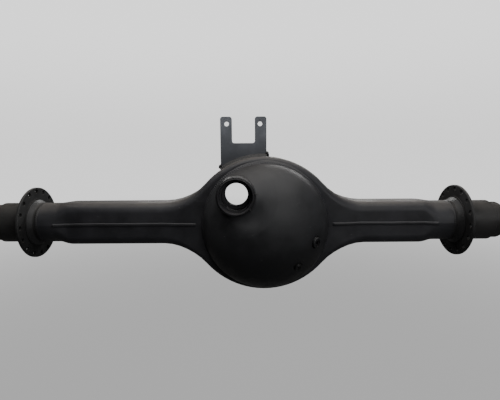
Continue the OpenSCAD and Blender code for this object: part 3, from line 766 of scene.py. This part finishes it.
# %% [markdown]
# ## Weld stops
# Where a run of weld ends, the metal freezes in a lump. The bracket's foot has one at each edge of
# the plate, and the sleeve's weld has two on its right side. They could be sculpted, but at this
# size a ball that is squeezed and dented by two waves looks the same.

# %% Shape of a weld stop
STOP_DENTS = ((0.12, (5, 0, 3), 0.0), (0.08, (0, 7, 0), 1.0))


def weld_stop(name, place, size, lean):
    bm = bmesh.new()
    bmesh.ops.create_icosphere(bm, subdivisions=3, radius=1.0)
    turn = Matrix.Rotation(lean, 3, "Y")
    for v in bm.verts:
        dents = sum(deep * math.sin(v.co.dot(Vector(rates)) + shift) for deep, rates, shift in STOP_DENTS)
        squeezed = Vector([c * s for c, s in zip(v.co, size)]) * (1.0 + dents)
        v.co = Vector(place) + turn @ squeezed
    bmesh.ops.recalc_face_normals(bm, faces=bm.faces)
    shade(bm, SOFT_SHARP)
    return piece_from(name, bm, "weld_paint")


def on_bowl(x, rise):
    across = x - BOWL_ARC_MIDDLE.x
    return BOWL_ARC_MIDDLE.z + math.sqrt(BOWL_ARC_RADIUS ** 2 - across ** 2) + rise


print("dents of a stop", len(STOP_DENTS))

# %% Weld stops
STOP_DEPTH = 0.002
SLEEVE_STOPS = (("sleeve_side_stop", math.radians(8.0), (0.0075, 0.003, 0.0022)),
                ("sleeve_low_stop", math.radians(-42.0), (0.0050, 0.003, 0.0030)))
plate_middle = (foot_low.y + foot_high.y) / 2
stops = [weld_stop("bracket_left_stop", (foot_low.x - 0.001, plate_middle, on_bowl(foot_low.x, 0.011)),
                   size=(0.0050, 0.0090, 0.0080), lean=0.5),
         weld_stop("bracket_right_stop", (foot_high.x + 0.002, plate_middle, on_bowl(foot_high.x, 0.008)),
                   size=(0.0065, 0.0095, 0.0100), lean=-0.2)]
bead_low, bead_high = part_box("sleeve_weld")
bead_radius = (bead_high.x - bead_low.x) / 2
for name, turn, size in SLEEVE_STOPS:
    place = (sleeve_middle.x + bead_radius * math.cos(turn), bead_low.y + STOP_DEPTH,
             sleeve_middle.z + bead_radius * math.sin(turn))
    stops.append(weld_stop(name, place, size, -turn))
print("weld stops", len(stops))

# %% [markdown]
# ## Spindle threads
# Each spindle ends in a thread for its bearing nuts, with a key slot along the top. The solid
# only has the plain thread diameter. A true helix would cross the slot, so low ridges are spun
# around it instead, one for each turn of the thread, and each starts and ends beside the slot.

# %% Spindle threads
THREAD_RADIUS = 0.0390
THREAD_PITCH = 0.0030
THREAD_RISE = 0.0008
THREAD_SINK = -0.0003
THREAD_START = 0.9930
THREAD_TURNS = 11
THREAD_STEPS = 72
THREAD_SHARP = 35.0
RIDGE_FOOT = THREAD_PITCH * 0.42
RIDGE_CREST = THREAD_PITCH * 0.10
SLOT_HALF_WIDTH = 0.0056
SLOT_HALF_TURN = math.asin(SLOT_HALF_WIDTH / THREAD_RADIUS)
RIDGE = ((-RIDGE_FOOT, THREAD_SINK), (-RIDGE_CREST, THREAD_RISE), (RIDGE_CREST, THREAD_RISE),
         (RIDGE_FOOT, THREAD_SINK))


def thread_ridges(name, way):
    bm = bmesh.new()
    beside_slot = Matrix.Rotation(SLOT_HALF_TURN, 3, "X")
    for turn in range(THREAD_TURNS):
        x = THREAD_START + turn * THREAD_PITCH
        points = [Vector((way * (x + along), 0, THREAD_RADIUS + rise)) for along, rise in RIDGE]
        verts = [bm.verts.new(beside_slot @ point) for point in points]
        bm.faces.new(verts)
        outline = [e for e in bm.edges if all(v in verts for v in e.verts)]
        bmesh.ops.spin(bm, geom=verts + outline, cent=(0, 0, 0), axis=(1, 0, 0), steps=THREAD_STEPS,
                       angle=FULL_TURN - 2 * SLOT_HALF_TURN, dvec=(0, 0, 0), use_merge=False,
                       use_duplicate=False)
    bmesh.ops.holes_fill(bm, edges=[e for e in bm.edges if e.is_boundary], sides=0)
    bmesh.ops.recalc_face_normals(bm, faces=bm.faces)
    shade(bm, THREAD_SHARP)
    return piece_from(name, bm, "spindle_paint")


for way, hand in ((-1, "left"), (1, "right")):
    ridges = thread_ridges(hand + "_thread_ridges", way)
    print(ridges.name, len(ridges.data.polygons), "faces")

# %% [markdown]
# ## Stage, light and size
# A backdrop behind the part would show its edges from the sides. So a pale round floor lies well
# below the part and grows paler with distance, until it meets the pale air of the studio, and the
# ground looks the same from every side. A wide soft light hangs over the part and leaves its
# underside dark, a weak one from the camera's right keeps the rear faces readable, and one on the
# far side does the same for the front.

# %% Floor paint
NEAR_GLOW = 0.57
FAR_GLOW = 1.50
GLOW_SHARE = 0.8
GLOW_ENDS = (1.2, 9.0)
FLOOR_TONES = (0.14 * 0.96, 0.14)


def seen_share(tree, share):
    """share for rays that come straight from the camera, and nothing for all others."""
    path = add(tree, "ShaderNodeLightPath")
    return maths(tree, "MULTIPLY", path.outputs["Is Camera Ray"], share)


def choose_shader(tree, share, first, second, output):
    choose = add(tree, "ShaderNodeMixShader")
    tree.links.new(share, choose.inputs["Fac"])
    tree.links.new(first, choose.inputs[1])
    tree.links.new(second, choose.inputs[2])
    tree.links.new(choose.outputs["Shader"], tree.nodes[output].inputs["Surface"])


def floor_paint(name):
    material = bpy.data.materials.new(name)
    material.use_nodes = True
    tree = material.node_tree
    shader = tree.nodes["Principled BSDF"]
    shader.inputs["Roughness"].default_value = 0.9
    shader.inputs["Specular IOR Level"].default_value = 0.1
    where = add(tree, "ShaderNodeTexCoord").outputs["Object"]
    mottled = span(tree, noise(tree, where, 1.4, 3.0), 0.0, 1.0, *FLOOR_TONES)
    tree.links.new(mottled, shader.inputs["Base Color"])
    away = add(tree, "ShaderNodeVectorMath", operation="LENGTH")
    tree.links.new(where, away.inputs[0])
    light = add(tree, "ShaderNodeEmission")
    pale = span(tree, away.outputs["Value"], *GLOW_ENDS, NEAR_GLOW, FAR_GLOW)
    tree.links.new(pale, light.inputs["Color"])
    choose_shader(tree, seen_share(tree, GLOW_SHARE), shader.outputs["BSDF"], light.outputs["Emission"],
                  "Material Output")
    return material


print("floor glow", NEAR_GLOW, "to", FAR_GLOW)

# %% Floor
FLOOR_HEIGHT = -0.93
FLOOR_REACH = 60.0
bm = bmesh.new()
bmesh.ops.create_circle(bm, cap_ends=True, segments=96, radius=FLOOR_REACH)
bmesh.ops.translate(bm, verts=bm.verts, vec=(0, 0, FLOOR_HEIGHT))
floor_mesh = bpy.data.meshes.new("studio_floor")
bm.to_mesh(floor_mesh)
bm.free()
studio_floor = bpy.data.objects.new("studio_floor", floor_mesh)
floor_mesh.materials.append(floor_paint("studio_paper"))
scene.collection.objects.link(studio_floor)
print("floor", len(floor_mesh.polygons), "face")

# %% Lights
WHITE = (1.0, 1.0, 1.0)
WARM_WHITE = (1.0, 0.985, 0.96)


def area_light(name, place, target, size, power, colour=WHITE):
    data = bpy.data.lights.new(name, "AREA")
    data.shape = "RECTANGLE"
    data.size, data.size_y = size
    data.energy = power
    data.color = colour
    lamp = bpy.data.objects.new(name, data)
    lamp.visible_camera = False
    lamp.location = place
    lamp.rotation_euler = (Vector(target) - Vector(place)).to_track_quat("-Z", "Y").to_euler()
    scene.collection.objects.link(lamp)


area_light("overhead_light", (0.05, -0.30, 1.20), target=(0.05, -0.13, 0.0), size=(2.1, 1.0), power=38.0,
           colour=WARM_WHITE)
area_light("camera_fill", (1.3, -2.4, 1.0), target=AXLE_MIDDLE, size=(2.4, 1.4), power=46.0)
area_light("far_side_light", (0.3, 2.0, 1.3), target=AXLE_MIDDLE, size=(2.6, 0.8), power=56.0)

# %% Air of the studio
DIM_AIR = (0.55, 0.57, 0.60, 1.0)
DIM_STRENGTH = 0.035
SKY_ENDS = (0.0, 0.3)
world = bpy.data.worlds.new("studio_air")
world.use_nodes = True
scene.world = world
air = world.node_tree
seen_air = add(air, "ShaderNodeBackground")
direction = add(air, "ShaderNodeSeparateXYZ")
air.links.new(add(air, "ShaderNodeTexCoord").outputs["Generated"], direction.inputs["Vector"])
sky = span(air, direction.outputs["Z"], *SKY_ENDS, FAR_GLOW * GLOW_SHARE, FAR_GLOW)
air.links.new(sky, seen_air.inputs["Color"])
dim_air = air.nodes["Background"]
dim_air.inputs["Color"].default_value = DIM_AIR
dim_air.inputs["Strength"].default_value = DIM_STRENGTH
choose_shader(air, seen_share(air, 1.0), dim_air.outputs["Background"], seen_air.outputs["Background"],
              "World Output")
print("air nodes", len(air.nodes))
